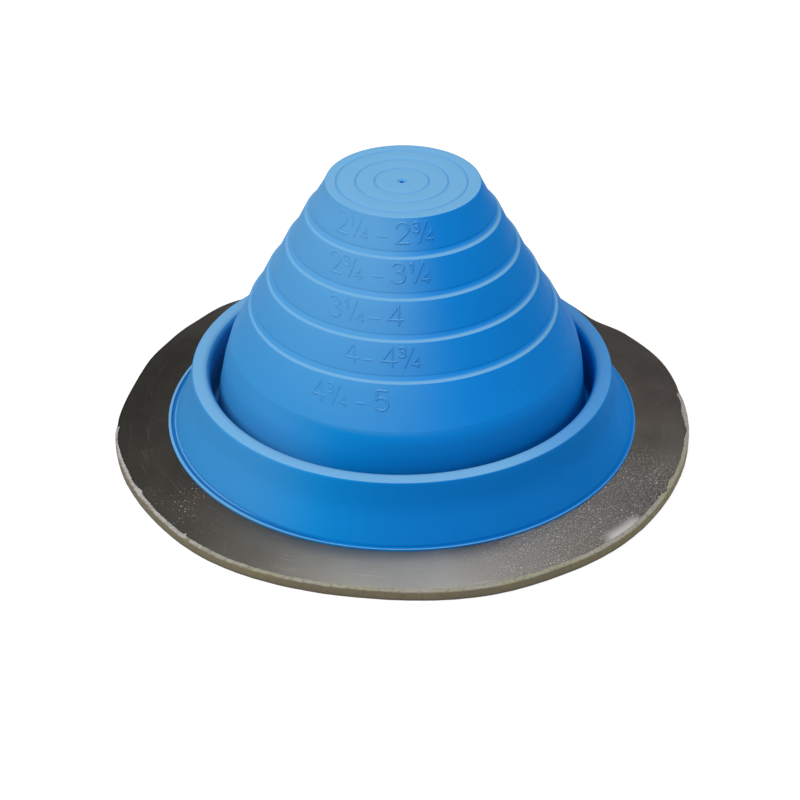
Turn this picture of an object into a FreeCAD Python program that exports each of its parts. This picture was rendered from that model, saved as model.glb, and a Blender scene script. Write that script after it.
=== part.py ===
import FreeCAD, Part
import math
import os

# Pipe flashing boot: a one-piece moulded rubber boot, a soft metal ring that is pressed to the roof
# and screwed through, and the sealing layer bonded below that ring and round its edge.
# Lengths are in millimetres. The origin lies on the boot's axis in the plane of the roof, and +Z
# points up the pipe. Every piece is turned about Z from a section given as (radius, height) corners.

# Base
BASE_RADIUS = 99.4
RIM_ROUNDING = 1.1
RIM_FOOT_CHAMFER = 0.4
FLASH_REACH = 0.7
FLASH_THICKNESS = 0.25

RING_THICKNESS = 0.9
RING_INNER_RADIUS = 76.5
RING_OUTER_RADIUS = 98.7
RING_TOP_AT_BOOT = 5.87
RING_TOP_AT_RIM = 3.5

# Foot of the boot, with a thin lip that lies on the ring
LIP_RADIUS = 79.9
LIP_THICKNESS = 0.8
LIP_WIDTH = 1.3
LIP_CHAMFER = 0.25
FOOT_STEP = 0.7
FOOT_INNER_RADIUS = 73.6

# Folded ridge that lets the boot tilt and stretch
RIDGE_HEIGHT = 26.9
RIDGE_INNER_RADIUS = 65.3
RIDGE_INNER_ROUNDING = 2.6
RIDGE_SHOULDER_HEIGHT = 26.2
RIDGE_OUTER_RADIUS = 71.2
RIDGE_OUTER_ROUNDING = 1.1
SKIRT_BEND_RADIUS = 73.3
SKIRT_BEND_HEIGHT = 16.5
SKIRT_BEND_ROUNDING = 20.0
GROOVE_FLOOR_HEIGHT = 7.0
GROOVE_FLOOR_WIDTH = 1.9

# Near-upright wall between the groove and the stepped cone
WALL_FOOT_RADIUS = 63.5
WALL_BEND_RADIUS = 60.9
WALL_BEND_HEIGHT = 29.5
WALL_BEND_ROUNDING = 30.0
CONE_FOOT_RADIUS = 58.9
CONE_FOOT_HEIGHT = 36.7

# Stepped cone: a ledge stands out below each crease, where the boot is cut for a pipe size
RIB_COUNT = 4
FIRST_CREASE_RADIUS = 30.3
FIRST_CREASE_HEIGHT = 85.9
STEP_OUT = 6.57
STEP_DOWN = 11.34
RIB_DROP = 2.5
RIB_PROUD = 0.75

# Top disc, with fine cut lines and a pinhole in a dimple at its centre
BOOT_HEIGHT = 95.4
DISC_RADIUS = 25.9
DISC_ROUNDING = 0.6
CUT_LINE_COUNT = 3
FIRST_CUT_LINE_RADIUS = 8.85
CUT_LINE_SPACING = 6.25
CUT_LINE_HALF_WIDTH = 0.35
CUT_LINE_DEPTH = 0.3
DIMPLE_RADIUS = 1.8
DIMPLE_DEPTH = 0.6
PINHOLE_RADIUS = 0.6

# Rubber thickness
WALL_THICKNESS = 2.4
FOLD_THICKNESS = 2.5


def at(radius, height):
    return FreeCAD.Vector(radius, 0, height)


def corner_arc(before, corner, after, rounding):
    """Arc of the given radius that is tangent to both sides of a corner."""
    back = (before - corner).normalize()
    ahead = (after - corner).normalize()
    half_angle = back.getAngle(ahead) / 2
    tangent_length = rounding / math.tan(half_angle)
    bisector = (back + ahead).normalize()
    centre = corner + bisector * (rounding / math.sin(half_angle))
    start = corner + back * tangent_length
    middle = centre - bisector * rounding
    end = corner + ahead * tangent_length
    return start, middle, end


def section(corners):
    """Closed face from (radius, height, rounding) corners, in order round the section."""
    points = [at(radius, height) for radius, height, _ in corners]
    bends = []
    for index, (_, _, rounding) in enumerate(corners):
        point = points[index]
        if rounding > 0:
            following = points[(index + 1) % len(points)]
            bends.append(corner_arc(points[index - 1], point, following, rounding))
        else:
            bends.append((point,))
    edges = []
    for index, bend in enumerate(bends):
        if len(bend) > 1:
            edges.append(Part.Arc(*bend).toShape())
        next_bend = bends[(index + 1) % len(bends)]
        edges.append(Part.LineSegment(bend[-1], next_bend[0]).toShape())
    return Part.Face(Part.Wire(edges))


def turned(corners):
    """Solid of revolution about Z."""
    return section(corners).revolve(FreeCAD.Vector(0, 0, 0), FreeCAD.Vector(0, 0, 1), 360)


def ring_top(radius):
    """Height of the metal ring's coned upper face."""
    slope = (RING_TOP_AT_RIM - RING_TOP_AT_BOOT) / (RING_OUTER_RADIUS - LIP_RADIUS)
    return RING_TOP_AT_BOOT + slope * (radius - LIP_RADIUS)


def ring_underside(radius):
    return ring_top(radius) - RING_THICKNESS


def crease(index):
    return FIRST_CREASE_RADIUS + STEP_OUT * index, FIRST_CREASE_HEIGHT - STEP_DOWN * index


def beside_crease(index, drop, proud):
    """Point a distance down the cone from a crease, and proud of the cone's line of creases."""
    step = math.hypot(STEP_OUT, STEP_DOWN)
    down_r, down_z = STEP_OUT / step, -STEP_DOWN / step
    out_r, out_z = -down_z, down_r
    radius, height = crease(index)
    return radius + down_r * drop + out_r * proud, height + down_z * drop + out_z * proud


def disc_corners():
    """Top face of the boot, from the pinhole out to the rounded edge."""
    corners = [
        (PINHOLE_RADIUS, BOOT_HEIGHT - DIMPLE_DEPTH, 0),
        (DIMPLE_RADIUS, BOOT_HEIGHT, 0),
    ]
    for index in range(CUT_LINE_COUNT):
        radius = FIRST_CUT_LINE_RADIUS + CUT_LINE_SPACING * index
        corners.append((radius - CUT_LINE_HALF_WIDTH, BOOT_HEIGHT, 0))
        corners.append((radius, BOOT_HEIGHT - CUT_LINE_DEPTH, 0))
        corners.append((radius + CUT_LINE_HALF_WIDTH, BOOT_HEIGHT, 0))
    corners.append((DISC_RADIUS, BOOT_HEIGHT, DISC_ROUNDING))
    return corners


def rib_corners(index):
    """Crease, and the edge of the ledge below it, where the next plain band starts."""
    return [
        (*crease(index), 0),
        (*beside_crease(index, RIB_DROP, RIB_PROUD), 0),
    ]


def wall_corners():
    """Wall from the foot of the cone down to the groove, and the groove's floor."""
    groove_outer_radius = WALL_FOOT_RADIUS + GROOVE_FLOOR_WIDTH
    chamfer = GROOVE_FLOOR_WIDTH / 3
    return [
        (CONE_FOOT_RADIUS, CONE_FOOT_HEIGHT, 0),
        (WALL_BEND_RADIUS, WALL_BEND_HEIGHT, WALL_BEND_ROUNDING),
        (WALL_FOOT_RADIUS, GROOVE_FLOOR_HEIGHT + chamfer, 0),
        (WALL_FOOT_RADIUS + chamfer, GROOVE_FLOOR_HEIGHT, 0),
        (groove_outer_radius - chamfer, GROOVE_FLOOR_HEIGHT, 0),
        (groove_outer_radius, GROOVE_FLOOR_HEIGHT + chamfer, 0),
    ]


def ridge_corners():
    """Folded ridge and the flared skirt outside it, down to the step above the lip."""
    foot_radius = LIP_RADIUS - LIP_WIDTH
    lip_top = ring_top(LIP_RADIUS) + LIP_THICKNESS
    return [
        (RIDGE_INNER_RADIUS, RIDGE_HEIGHT, RIDGE_INNER_ROUNDING),
        (RIDGE_OUTER_RADIUS, RIDGE_SHOULDER_HEIGHT, RIDGE_OUTER_ROUNDING),
        (SKIRT_BEND_RADIUS, SKIRT_BEND_HEIGHT, SKIRT_BEND_ROUNDING),
        (foot_radius, lip_top + FOOT_STEP, 0),
        (foot_radius, lip_top, 0),
    ]


def foot_corners():
    """Lip over the ring, then the foot down through the ring's hole to the roof."""
    lip_top = ring_top(LIP_RADIUS) + LIP_THICKNESS
    return [
        (LIP_RADIUS - LIP_CHAMFER, lip_top, 0),
        (LIP_RADIUS, lip_top - LIP_CHAMFER, 0),
        (LIP_RADIUS, ring_top(LIP_RADIUS), 0),
        (RING_INNER_RADIUS, ring_top(RING_INNER_RADIUS), 0),
        (RING_INNER_RADIUS, 0, 0),
        (FOOT_INNER_RADIUS, 0, 0),
    ]


def inside_corners():
    """Hidden side of the rubber, from the foot back up to the pinhole."""
    fold_underside = GROOVE_FLOOR_HEIGHT - FOLD_THICKNESS
    fold_outer_radius = WALL_FOOT_RADIUS + GROOVE_FLOOR_WIDTH + FOLD_THICKNESS
    fold_inner_radius = WALL_FOOT_RADIUS - FOLD_THICKNESS
    chamfer = FOLD_THICKNESS / 2
    hollow_top = RIDGE_SHOULDER_HEIGHT - FOLD_THICKNESS
    creases_spanned = (FIRST_CREASE_HEIGHT - CONE_FOOT_HEIGHT) / STEP_DOWN
    cone_foot_drop = math.hypot(STEP_OUT, STEP_DOWN) * creases_spanned
    top_underside = BOOT_HEIGHT - WALL_THICKNESS
    return [
        (FOOT_INNER_RADIUS, SKIRT_BEND_HEIGHT / 2, 0),
        (SKIRT_BEND_RADIUS - FOLD_THICKNESS, SKIRT_BEND_HEIGHT, 0),
        (RIDGE_OUTER_RADIUS - FOLD_THICKNESS, hollow_top, 0),
        (RIDGE_INNER_RADIUS + FOLD_THICKNESS, hollow_top, 0),
        (fold_outer_radius, fold_underside + chamfer, 0),
        (fold_outer_radius - chamfer, fold_underside, 0),
        (fold_inner_radius + chamfer, fold_underside, 0),
        (fold_inner_radius, fold_underside + chamfer, 0),
        (WALL_BEND_RADIUS - WALL_THICKNESS, WALL_BEND_HEIGHT, 0),
        (*beside_crease(0, cone_foot_drop, -WALL_THICKNESS), 0),
        (*beside_crease(0, 0, -WALL_THICKNESS), 0),
        (DISC_RADIUS - WALL_THICKNESS, top_underside, 0),
        (PINHOLE_RADIUS, top_underside, 0),
    ]


def boot():
    corners = disc_corners()
    for index in range(RIB_COUNT):
        corners += rib_corners(index)
    corners += wall_corners()
    corners += ridge_corners()
    corners += foot_corners()
    corners += inside_corners()
    return turned(corners)


def base_ring():
    """Soft metal ring, slightly coned, round the foot of the boot."""
    return turned([
        (RING_INNER_RADIUS, ring_top(RING_INNER_RADIUS), 0),
        (RING_OUTER_RADIUS, ring_top(RING_OUTER_RADIUS), 0),
        (RING_OUTER_RADIUS, ring_underside(RING_OUTER_RADIUS), 0),
        (RING_INNER_RADIUS, ring_underside(RING_INNER_RADIUS), 0),
    ])


def base_seal():
    """Sealing layer, flat below, that wraps the ring's outer edge and laps a little on to its top."""
    flash_radius = RING_OUTER_RADIUS - FLASH_REACH
    return turned([
        (RING_INNER_RADIUS, ring_underside(RING_INNER_RADIUS), 0),
        (RING_OUTER_RADIUS, ring_underside(RING_OUTER_RADIUS), 0),
        (RING_OUTER_RADIUS, ring_top(RING_OUTER_RADIUS), 0),
        (flash_radius, ring_top(flash_radius), 0),
        (flash_radius, ring_top(flash_radius) + FLASH_THICKNESS, 0),
        (BASE_RADIUS, ring_top(BASE_RADIUS) + FLASH_THICKNESS, RIM_ROUNDING),
        (BASE_RADIUS, RIM_FOOT_CHAMFER, 0),
        (BASE_RADIUS - RIM_FOOT_CHAMFER, 0, 0),
        (RING_INNER_RADIUS, 0, 0),
    ])


PIECES = {
    "boot": boot,
    "base_ring": base_ring,
    "base_seal": base_seal,
}

os.makedirs("parts", exist_ok=True)
for name, make in PIECES.items():
    solid = make()
    solid.exportStep("parts/" + name + ".step")
    box = solid.BoundBox
    print(name, solid.ShapeType, solid.isValid(), round(solid.Volume), "mm3", round(box.ZMin, 2), round(box.ZMax, 2))
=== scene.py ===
"""Looks of a pipe flashing boot: a blue moulded rubber boot, a soft metal base ring and its sealing layer.

Sections and sizes are in millimetres, as (radius, height) on the boot's axis; meshes are in metres.
Directions round the axis are in degrees from +X, so the front is at -90.
"""
import math
from collections import namedtuple
from functools import reduce

import bpy
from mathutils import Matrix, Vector, noise


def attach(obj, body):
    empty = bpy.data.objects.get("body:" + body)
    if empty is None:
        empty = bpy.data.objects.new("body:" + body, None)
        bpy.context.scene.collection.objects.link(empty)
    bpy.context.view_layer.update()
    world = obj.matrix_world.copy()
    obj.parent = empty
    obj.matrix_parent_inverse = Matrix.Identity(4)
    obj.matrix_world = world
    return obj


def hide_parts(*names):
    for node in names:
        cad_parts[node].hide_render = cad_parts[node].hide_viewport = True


MM = 0.001
TURN = 2 * math.pi
FRONT = -math.pi / 2

# Metal ring and sealing layer, before the soft edge is bent
RING_HOLE_RADIUS = 76.5
RING_EDGE_RADIUS = 97.9
RING_TOP_AT_BOOT = 5.87
RING_TOP_AT_EDGE = 3.5
RING_THICKNESS = 0.9
RING_EDGE_ROUNDING = 0.1
RIM_RADIUS = 98.5
RIM_ROUNDING = 0.6
RIM_FOOT_ROUNDING = 0.5
LAP_RADIUS = 97.1
LAP_THICKNESS = 0.22
LAP_SUNK = 0.05
LAP_ROUNDING = 0.1

# Boot: lip, with a trough behind its raised edge
LIP_RADIUS = 80.25
LIP_THICKNESS = 0.65
LIP_ROUNDING = 0.22
LIP_WIDTH = 1.3
LIP_EDGE_WIDTH = 0.50
LIP_EDGE_SLOPE = 0.12
LIP_EDGE_ROUNDING = 0.10
TROUGH_DEPTH = 0.45
TROUGH_ROUNDING = 0.1
LIP_TOP = RING_TOP_AT_BOOT + LIP_THICKNESS
TROUGH_FLOOR = LIP_TOP - TROUGH_DEPTH
SEAT_CLEARANCE = 0.02
HOLE_CLEARANCE = 0.05

# Boot: flared skirt, folded ridge and the groove behind it
FOOT_STEP = 0.7
FOOT_STEP_SET_BACK = 0.10
FOOT_STEP_ROUNDING = 0.15
FOOT_INNER_RADIUS = 73.6
SKIRT_BEND = (73.3, 16.5)
SKIRT_BEND_ROUNDING = 20.0
RIDGE_OUTER = (71.2, 25.95)
RIDGE_OUTER_ROUNDING = 1.1
RIDGE_INNER = (65.3, 26.65)
RIDGE_INNER_ROUNDING = 2.6
GROOVE_FLOOR_HEIGHT = 7.0
GROOVE_FLOOR_WIDTH = 1.9
GROOVE_ROUNDING = 0.9

# Boot: wall and stepped cone
WALL_FOOT_RADIUS = 63.5
WALL_BEND = (60.9, 29.5)
WALL_BEND_ROUNDING = 30.0
CONE_FOOT = (58.9, 36.7)
CONE_FOOT_ROUNDING = 1.0
RIB_COUNT = 4
FIRST_CREASE = (30.3, 85.9)
STEP_OUT = 6.57
STEP_DOWN = 11.34
RIB_DROP = 2.5
RIB_PROUD = 0.75
SHOULDER_DROP = 0.62 * RIB_DROP
SHOULDER_PROUD = 0.24 * RIB_PROUD
SHOULDER_ROUNDING = 1.5
LEDGE_ROUNDING = 0.28
CREASE_DEPTH = 0.24
CREASE_WIDTH = 0.45
CREASE_ROUNDING = 0.06

# Boot: top disc, with its cut lines and the pinhole in its dimple
BOOT_HEIGHT = 95.4
DISC_RADIUS = 25.9
DISC_ROUNDING = 0.6
CUT_LINE_RADII = (8.85, 15.1, 21.35)
CUT_LINE_HALF_WIDTH = 0.4
CUT_LINE_DEPTH = 0.3
CUT_LINE_ROUNDING = 0.08
DIMPLE_RADIUS = 1.8
DIMPLE_DEPTH = 0.55
DIMPLE_ROUNDING = 0.25
PINHOLE_RADIUS = 0.7
PINHOLE_ROUNDING = 0.1

# Boot: hidden side
WALL_THICKNESS = 2.4
FOLD_THICKNESS = 2.5
INSIDE_SKIRT_ROUNDING = 4
INSIDE_RIDGE_ROUNDING = 0.3
INSIDE_CONE_ROUNDING = 6
INSIDE_TOP_ROUNDING = 1

# Rubber is never quite round. A ramp goes from (where a bend starts, where it is full), and a side is
# (direction, degrees either way at full, degrees either way where it ends).
CONE_REACH = 62
CONE_LEAN = 0.3
LEAN_FOOT = (14, 34)
LEAN_TOP = (90, 85)
PRESSED_IN = 0.8
PRESSED_FOOT = (18, 32)
PRESSED_TOP = (52, 46)
PRESSED_SIDE = (170, 25, 60)
RIM_DRAWN_IN = 0.85
RIM_DRAWN_ASIDE = 0.60
RIM_HEIGHTS = (86.5, 95.0)
RIM_RADII = (24, 27)
RIDGE_MIDDLE = 68.3
RIDGE_ACROSS = (6, 0)
RIDGE_HEIGHTS = (12, 24)
RIDGE_SWAY = ((1, 0.50, FRONT), (2, 0.10, 0.6), (3, 0.08, 2.1), (5, 0.05, 4.4))

# The lip opens wider at one side. Each region that bends reaches a little past the section's corners.
OPEN_SIDE = (190, 30, 70)
OPEN_ABOVE = 5.9
SKIRT_DRAWN_IN = 1.3
SKIRT_DRAWN_HEIGHTS = (15, 7)
SKIRT_FROM = FOOT_INNER_RADIUS + 0.5
EDGE_DRAWN_IN = 0.6
EDGE_FROM = LIP_RADIUS - LIP_EDGE_WIDTH - 0.1
EDGE_TO = LIP_RADIUS - 0.26
TROUGH_FROM = LIP_RADIUS - LIP_WIDTH - 0.2
TROUGH_FLOOR_SLACK = 0.12
TROUGH_SHALLOW = 0.06
TROUGH_OVER_RING = 0.12

# Soft outer edge: waves round the axis, as (waves per turn, height, place of the first crest in radians)
EDGE_RADIUS_WAVES = ((2, 0.30, -0.10), (3, 0.28, 0.55), (5, 0.16, 0.0), (8, 0.07, 1.0))
EDGE_HEIGHT_WAVES = ((2, 0.16, 2.4), (3, 0.16, 0.5), (7, 0.06, 2.0))
SHEET_DENTS = ((4, 0.05, 0.2), (6, 0.06, 1.3), (9, 0.04, 2.2))
DENT_SPREAD = 1.1

# Where a hand has bent the soft edge: (direction, half width in degrees, reach outward)
HAND_BENDS = (
    (-48, 28, 1.10), (-73, 15, 0.75), (-97, 16, -0.60), (-129, 22, 1.00), (167, 22, -2.10),
    (131, 11, 1.75), (150, 9, -0.75), (42.5, 8.5, -2.30), (53, 6, 0.70), (22, 15, 1.20),
)

# Where the lap is torn back or reaches further in: (direction, half width in degrees, reach outward)
LAP_TEARS = (
    (-171, 10, 0.7), (-153, 2, -0.7), (-135.5, 0.5, -0.9),
    (1.5, 4, -0.5), (-5, 3, 0.6), (-23, 2.2, -0.5), (-27, 1.6, 0.6), (-32, 6, -0.15),
)
TORN_WITHIN = LAP_RADIUS + 0.2
TORN_ABOVE = 3
TEAR_FINE = 120
TEAR_FINE_REACH = 0.28
TEAR_BROAD = 14
TEAR_BROAD_REACH = 0.25
TEAR_BROAD_START = Vector((3.1, 0.4, 0.0))

# The side round the back where the edge is bare, and the sheet reaches out over the sealing layer
BARE_SIDE = (96.25, 83.75, 89.75)
BARE_RING_REACH = 0.45
BARE_SEAL_BACK = 0.75
BARE_SEAL_DOWN = 0.6
BARE_FROM = RING_EDGE_RADIUS - 1.5
BARE_ABOVE = 2

# Lumps of the sealing compound's side
LUMPS = 26
LUMP_STRETCH = 0.05
LUMP_REACH = 0.10

# How finely the meshes are cut: degrees along a rounding, the longest run in a section, segments round
# the axis, and the angle at which an edge stays sharp
ARC_STEP = 9.0
SHORTEST_STEP = 0.2
BOOT_MESH = {"longest": 4.0, "segments": 360, "sharp": 38}
RING_MESH = {"longest": 1.2, "segments": 720, "sharp": 40}
SEAL_MESH = {"longest": 2.5, "segments": 1440, "sharp": 50}
MARKS_SHARP = 60


# ---------------------------------------------------------------- meshes

def ramp(value, start, full):
    """0 at start, 1 at full and straight between; it holds 0 and 1 beyond them."""
    return max(0.0, min(1.0, (value - start) / (full - start)))


def rounded(corners):
    """Points of a section given as (radius, height, rounding) corners, with each rounding as an arc."""
    points = []
    for index, (radius, height, rounding) in enumerate(corners):
        corner = Vector((radius, height))
        if rounding <= 0:
            points.append(corner)
            continue
        back = (Vector(corners[index - 1][:2]) - corner).normalized()
        ahead = (Vector(corners[(index + 1) % len(corners)][:2]) - corner).normalized()
        half_angle = back.angle(ahead) / 2
        bisector = (back + ahead).normalized()
        centre = corner + bisector * (rounding / math.sin(half_angle))
        sweep = math.pi - 2 * half_angle
        fine_steps = math.ceil(sweep / math.radians(ARC_STEP))
        steps = max(2, min(fine_steps, math.ceil(sweep * rounding / SHORTEST_STEP)))
        side = 1 if back.x * ahead.y - back.y * ahead.x > 0 else -1
        for step in range(steps + 1):
            turn = side * sweep * (step / steps - 0.5)
            spoke = -bisector * rounding
            points.append(centre + Vector((
                spoke.x * math.cos(turn) + spoke.y * math.sin(turn),
                spoke.y * math.cos(turn) - spoke.x * math.sin(turn),
            )))
    return points


def divided(points, longest):
    """The same section with long runs divided, so that bent surfaces stay smooth."""
    result = []
    for index, point in enumerate(points):
        following = points[(index + 1) % len(points)]
        parts = max(1, math.ceil((following - point).length / longest))
        for part in range(parts):
            result.append(point.lerp(following, part / parts))
    return result


def placed(name, mesh):
    piece = bpy.data.objects.new(name, mesh)
    bpy.context.scene.collection.objects.link(piece)
    return piece


def smooth_by_angle(piece, degrees):
    """Smooth faces, with sharp edges kept where two faces meet at more than this angle."""
    bpy.context.view_layer.objects.active = piece
    piece.select_set(True)
    bpy.ops.object.shade_smooth_by_angle(angle=math.radians(degrees))
    piece.select_set(False)


def lathe(name, corners, bend, longest, segments, sharp):
    """Closed mesh of a section turned about Z; bend(radius, height, angle) gives each point's place."""
    points = divided(rounded(corners), longest)
    vertices = []
    for segment in range(segments):
        angle = TURN * segment / segments
        for point in points:
            radius, height = bend(point.x, point.y, angle)
            vertices.append((radius * math.cos(angle) * MM, radius * math.sin(angle) * MM, height * MM))
    count = len(points)
    faces = []
    for segment in range(segments):
        here = segment * count
        there = (segment + 1) % segments * count
        for index in range(count):
            after = (index + 1) % count
            faces.append((here + index, here + after, there + after, there + index))
    mesh = bpy.data.meshes.new(name)
    mesh.from_pydata(vertices, [], faces)
    mesh.update()
    piece = placed(name, mesh)
    smooth_by_angle(piece, sharp)
    return piece


def soft_wave(angle, rows):
    """Sum of low waves round the axis, from rows of waves per turn, height and the first crest's angle."""
    return sum(height * math.cos(waves * (angle - crest)) for waves, height, crest in rows)


def share_towards(angle, degrees, full, gone):
    """1 within so many degrees of a direction, falling smoothly to 0 further round."""
    away = abs((math.degrees(angle) - degrees + 180) % 360 - 180)
    share = ramp(away, gone, full)
    return share * share * (3 - 2 * share)


def reach_of(angle, rows):
    """Sum of outward reaches at an angle, from (direction, half width, reach) rows."""
    return sum(reach * share_towards(angle, place, 0, half_width) for place, half_width, reach in rows)


# ---------------------------------------------------------------- boot

def ring_top(radius):
    """Height of the coned upper face of the metal ring."""
    slope = (RING_TOP_AT_EDGE - RING_TOP_AT_BOOT) / (RING_EDGE_RADIUS - LIP_RADIUS)
    return RING_TOP_AT_BOOT + slope * (radius - LIP_RADIUS)


def crease(index):
    return FIRST_CREASE[0] + STEP_OUT * index, FIRST_CREASE[1] - STEP_DOWN * index


def beside_crease(index, drop, proud):
    """Point a distance down the cone from a crease, and proud of the cone's line of creases."""
    step = math.hypot(STEP_OUT, STEP_DOWN)
    down_r, down_z = STEP_OUT / step, -STEP_DOWN / step
    radius, height = crease(index)
    return radius + down_r * drop - down_z * proud, height + down_z * drop + down_r * proud


def disc_corners():
    corners = [
        (PINHOLE_RADIUS, BOOT_HEIGHT - DIMPLE_DEPTH, PINHOLE_ROUNDING),
        (DIMPLE_RADIUS, BOOT_HEIGHT, DIMPLE_ROUNDING),
    ]
    for radius in CUT_LINE_RADII:
        corners.append((radius - CUT_LINE_HALF_WIDTH, BOOT_HEIGHT, CUT_LINE_ROUNDING))
        corners.append((radius, BOOT_HEIGHT - CUT_LINE_DEPTH, CUT_LINE_ROUNDING))
        corners.append((radius + CUT_LINE_HALF_WIDTH, BOOT_HEIGHT, CUT_LINE_ROUNDING))
    corners.append((DISC_RADIUS, BOOT_HEIGHT, DISC_ROUNDING))
    return corners


def cone_corners():
    corners = []
    for index in range(RIB_COUNT):
        corners += [
            (*beside_crease(index, -CREASE_WIDTH, 0), CREASE_ROUNDING),
            (*beside_crease(index, 0, -CREASE_DEPTH), CREASE_ROUNDING),
            (*beside_crease(index, SHOULDER_DROP, SHOULDER_PROUD), SHOULDER_ROUNDING),
            (*beside_crease(index, RIB_DROP, RIB_PROUD), LEDGE_ROUNDING),
        ]
    return corners


def wall_corners():
    return [
        (*CONE_FOOT, CONE_FOOT_ROUNDING),
        (*WALL_BEND, WALL_BEND_ROUNDING),
        (WALL_FOOT_RADIUS, GROOVE_FLOOR_HEIGHT, GROOVE_ROUNDING),
        (WALL_FOOT_RADIUS + GROOVE_FLOOR_WIDTH, GROOVE_FLOOR_HEIGHT, GROOVE_ROUNDING),
    ]


def skirt_corners():
    foot_radius = LIP_RADIUS - LIP_WIDTH
    edge_radius = LIP_RADIUS - LIP_EDGE_WIDTH
    hole_radius = RING_HOLE_RADIUS - HOLE_CLEARANCE
    return [
        (*RIDGE_INNER, RIDGE_INNER_ROUNDING),
        (*RIDGE_OUTER, RIDGE_OUTER_ROUNDING),
        (*SKIRT_BEND, SKIRT_BEND_ROUNDING),
        (foot_radius - FOOT_STEP_SET_BACK, LIP_TOP + FOOT_STEP, FOOT_STEP_ROUNDING),
        (foot_radius, TROUGH_FLOOR, TROUGH_ROUNDING),
        (edge_radius, TROUGH_FLOOR, TROUGH_ROUNDING),
        (edge_radius + LIP_EDGE_SLOPE, LIP_TOP, LIP_EDGE_ROUNDING),
        (LIP_RADIUS, LIP_TOP, LIP_ROUNDING),
        (LIP_RADIUS, RING_TOP_AT_BOOT + SEAT_CLEARANCE, 0),
        (hole_radius, ring_top(RING_HOLE_RADIUS) + SEAT_CLEARANCE, 0),
        (hole_radius, 0.0, 0),
        (FOOT_INNER_RADIUS, 0.0, 0),
    ]


def inside_corners():
    """Hidden side of the rubber, from the foot back up to the pinhole."""
    fold_underside = GROOVE_FLOOR_HEIGHT - FOLD_THICKNESS
    fold_outer = WALL_FOOT_RADIUS + GROOVE_FLOOR_WIDTH + FOLD_THICKNESS
    fold_inner = WALL_FOOT_RADIUS - FOLD_THICKNESS
    hollow_top = RIDGE_OUTER[1] - FOLD_THICKNESS
    creases_spanned = (FIRST_CREASE[1] - CONE_FOOT[1]) / STEP_DOWN
    cone_foot_drop = math.hypot(STEP_OUT, STEP_DOWN) * creases_spanned
    top_underside = BOOT_HEIGHT - WALL_THICKNESS
    return [
        (FOOT_INNER_RADIUS, SKIRT_BEND[1] / 2, INSIDE_SKIRT_ROUNDING),
        (SKIRT_BEND[0] - FOLD_THICKNESS, SKIRT_BEND[1], INSIDE_SKIRT_ROUNDING),
        (RIDGE_OUTER[0] - FOLD_THICKNESS, hollow_top, INSIDE_RIDGE_ROUNDING),
        (RIDGE_INNER[0] + FOLD_THICKNESS, hollow_top, INSIDE_RIDGE_ROUNDING),
        (fold_outer, fold_underside, FOLD_THICKNESS),
        (fold_inner, fold_underside, FOLD_THICKNESS),
        (WALL_BEND[0] - WALL_THICKNESS, WALL_BEND[1], WALL_BEND_ROUNDING),
        (*beside_crease(0, cone_foot_drop, -WALL_THICKNESS), INSIDE_CONE_ROUNDING),
        (*beside_crease(0, 0, -WALL_THICKNESS), INSIDE_CONE_ROUNDING),
        (DISC_RADIUS - WALL_THICKNESS, top_underside, INSIDE_TOP_ROUNDING),
        (PINHOLE_RADIUS, top_underside, 0),
    ]


def cone_shift(radius, height, angle):
    """The cone leans to one side, is pressed in low on the other, and its rim is drawn in."""
    leaning = min(ramp(height, *LEAN_FOOT), ramp(height, *LEAN_TOP))
    pressed = min(ramp(height, *PRESSED_FOOT), ramp(height, *PRESSED_TOP))
    at_rim = ramp(height, *RIM_HEIGHTS) * ramp(radius, *RIM_RADII)
    shift = CONE_LEAN * leaning * math.cos(angle)
    shift -= PRESSED_IN * pressed * share_towards(angle, *PRESSED_SIDE)
    return shift - at_rim * (RIM_DRAWN_IN - RIM_DRAWN_ASIDE * math.cos(angle))


def lip_bend(radius, height, opened):
    """The trough is shallow all round; at the open side it is wide and goes down to the ring."""
    in_trough = abs(height - TROUGH_FLOOR) < TROUGH_FLOOR_SLACK and radius > TROUGH_FROM
    if height > OPEN_ABOVE and SKIRT_FROM < radius < EDGE_FROM:
        radius -= SKIRT_DRAWN_IN * opened * ramp(height, *SKIRT_DRAWN_HEIGHTS)
    elif height > OPEN_ABOVE and EDGE_FROM <= radius < EDGE_TO:
        radius -= EDGE_DRAWN_IN * opened
    if in_trough:
        shallow = LIP_TOP - TROUGH_SHALLOW
        deep = ring_top(radius) + TROUGH_OVER_RING
        height = shallow + (deep - shallow) * opened
    return radius, height


def boot_bend(radius, height, angle):
    """Place of a point of the rubber, which is never quite round."""
    if radius < CONE_REACH:
        radius += cone_shift(radius, height, angle)
    near_ridge = ramp(abs(radius - RIDGE_MIDDLE), *RIDGE_ACROSS) * ramp(height, *RIDGE_HEIGHTS)
    radius += near_ridge * soft_wave(angle, RIDGE_SWAY)
    return lip_bend(radius, height, share_towards(angle, *OPEN_SIDE))


def make_boot():
    corners = disc_corners() + cone_corners() + wall_corners() + skirt_corners() + inside_corners()
    return lathe("rubber_boot", corners, boot_bend, **BOOT_MESH)


# ---------------------------------------------------------------- ring and seal

def edge_share(radius):
    """0 at the foot of the boot, 1 at the soft outer edge."""
    return ramp(radius, LIP_RADIUS, RIM_RADIUS) ** 2


def bare_edge(angle):
    """1 round the back, where the sealant has no lap and the sheet reaches out over it."""
    return share_towards(angle, *BARE_SIDE)


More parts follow.
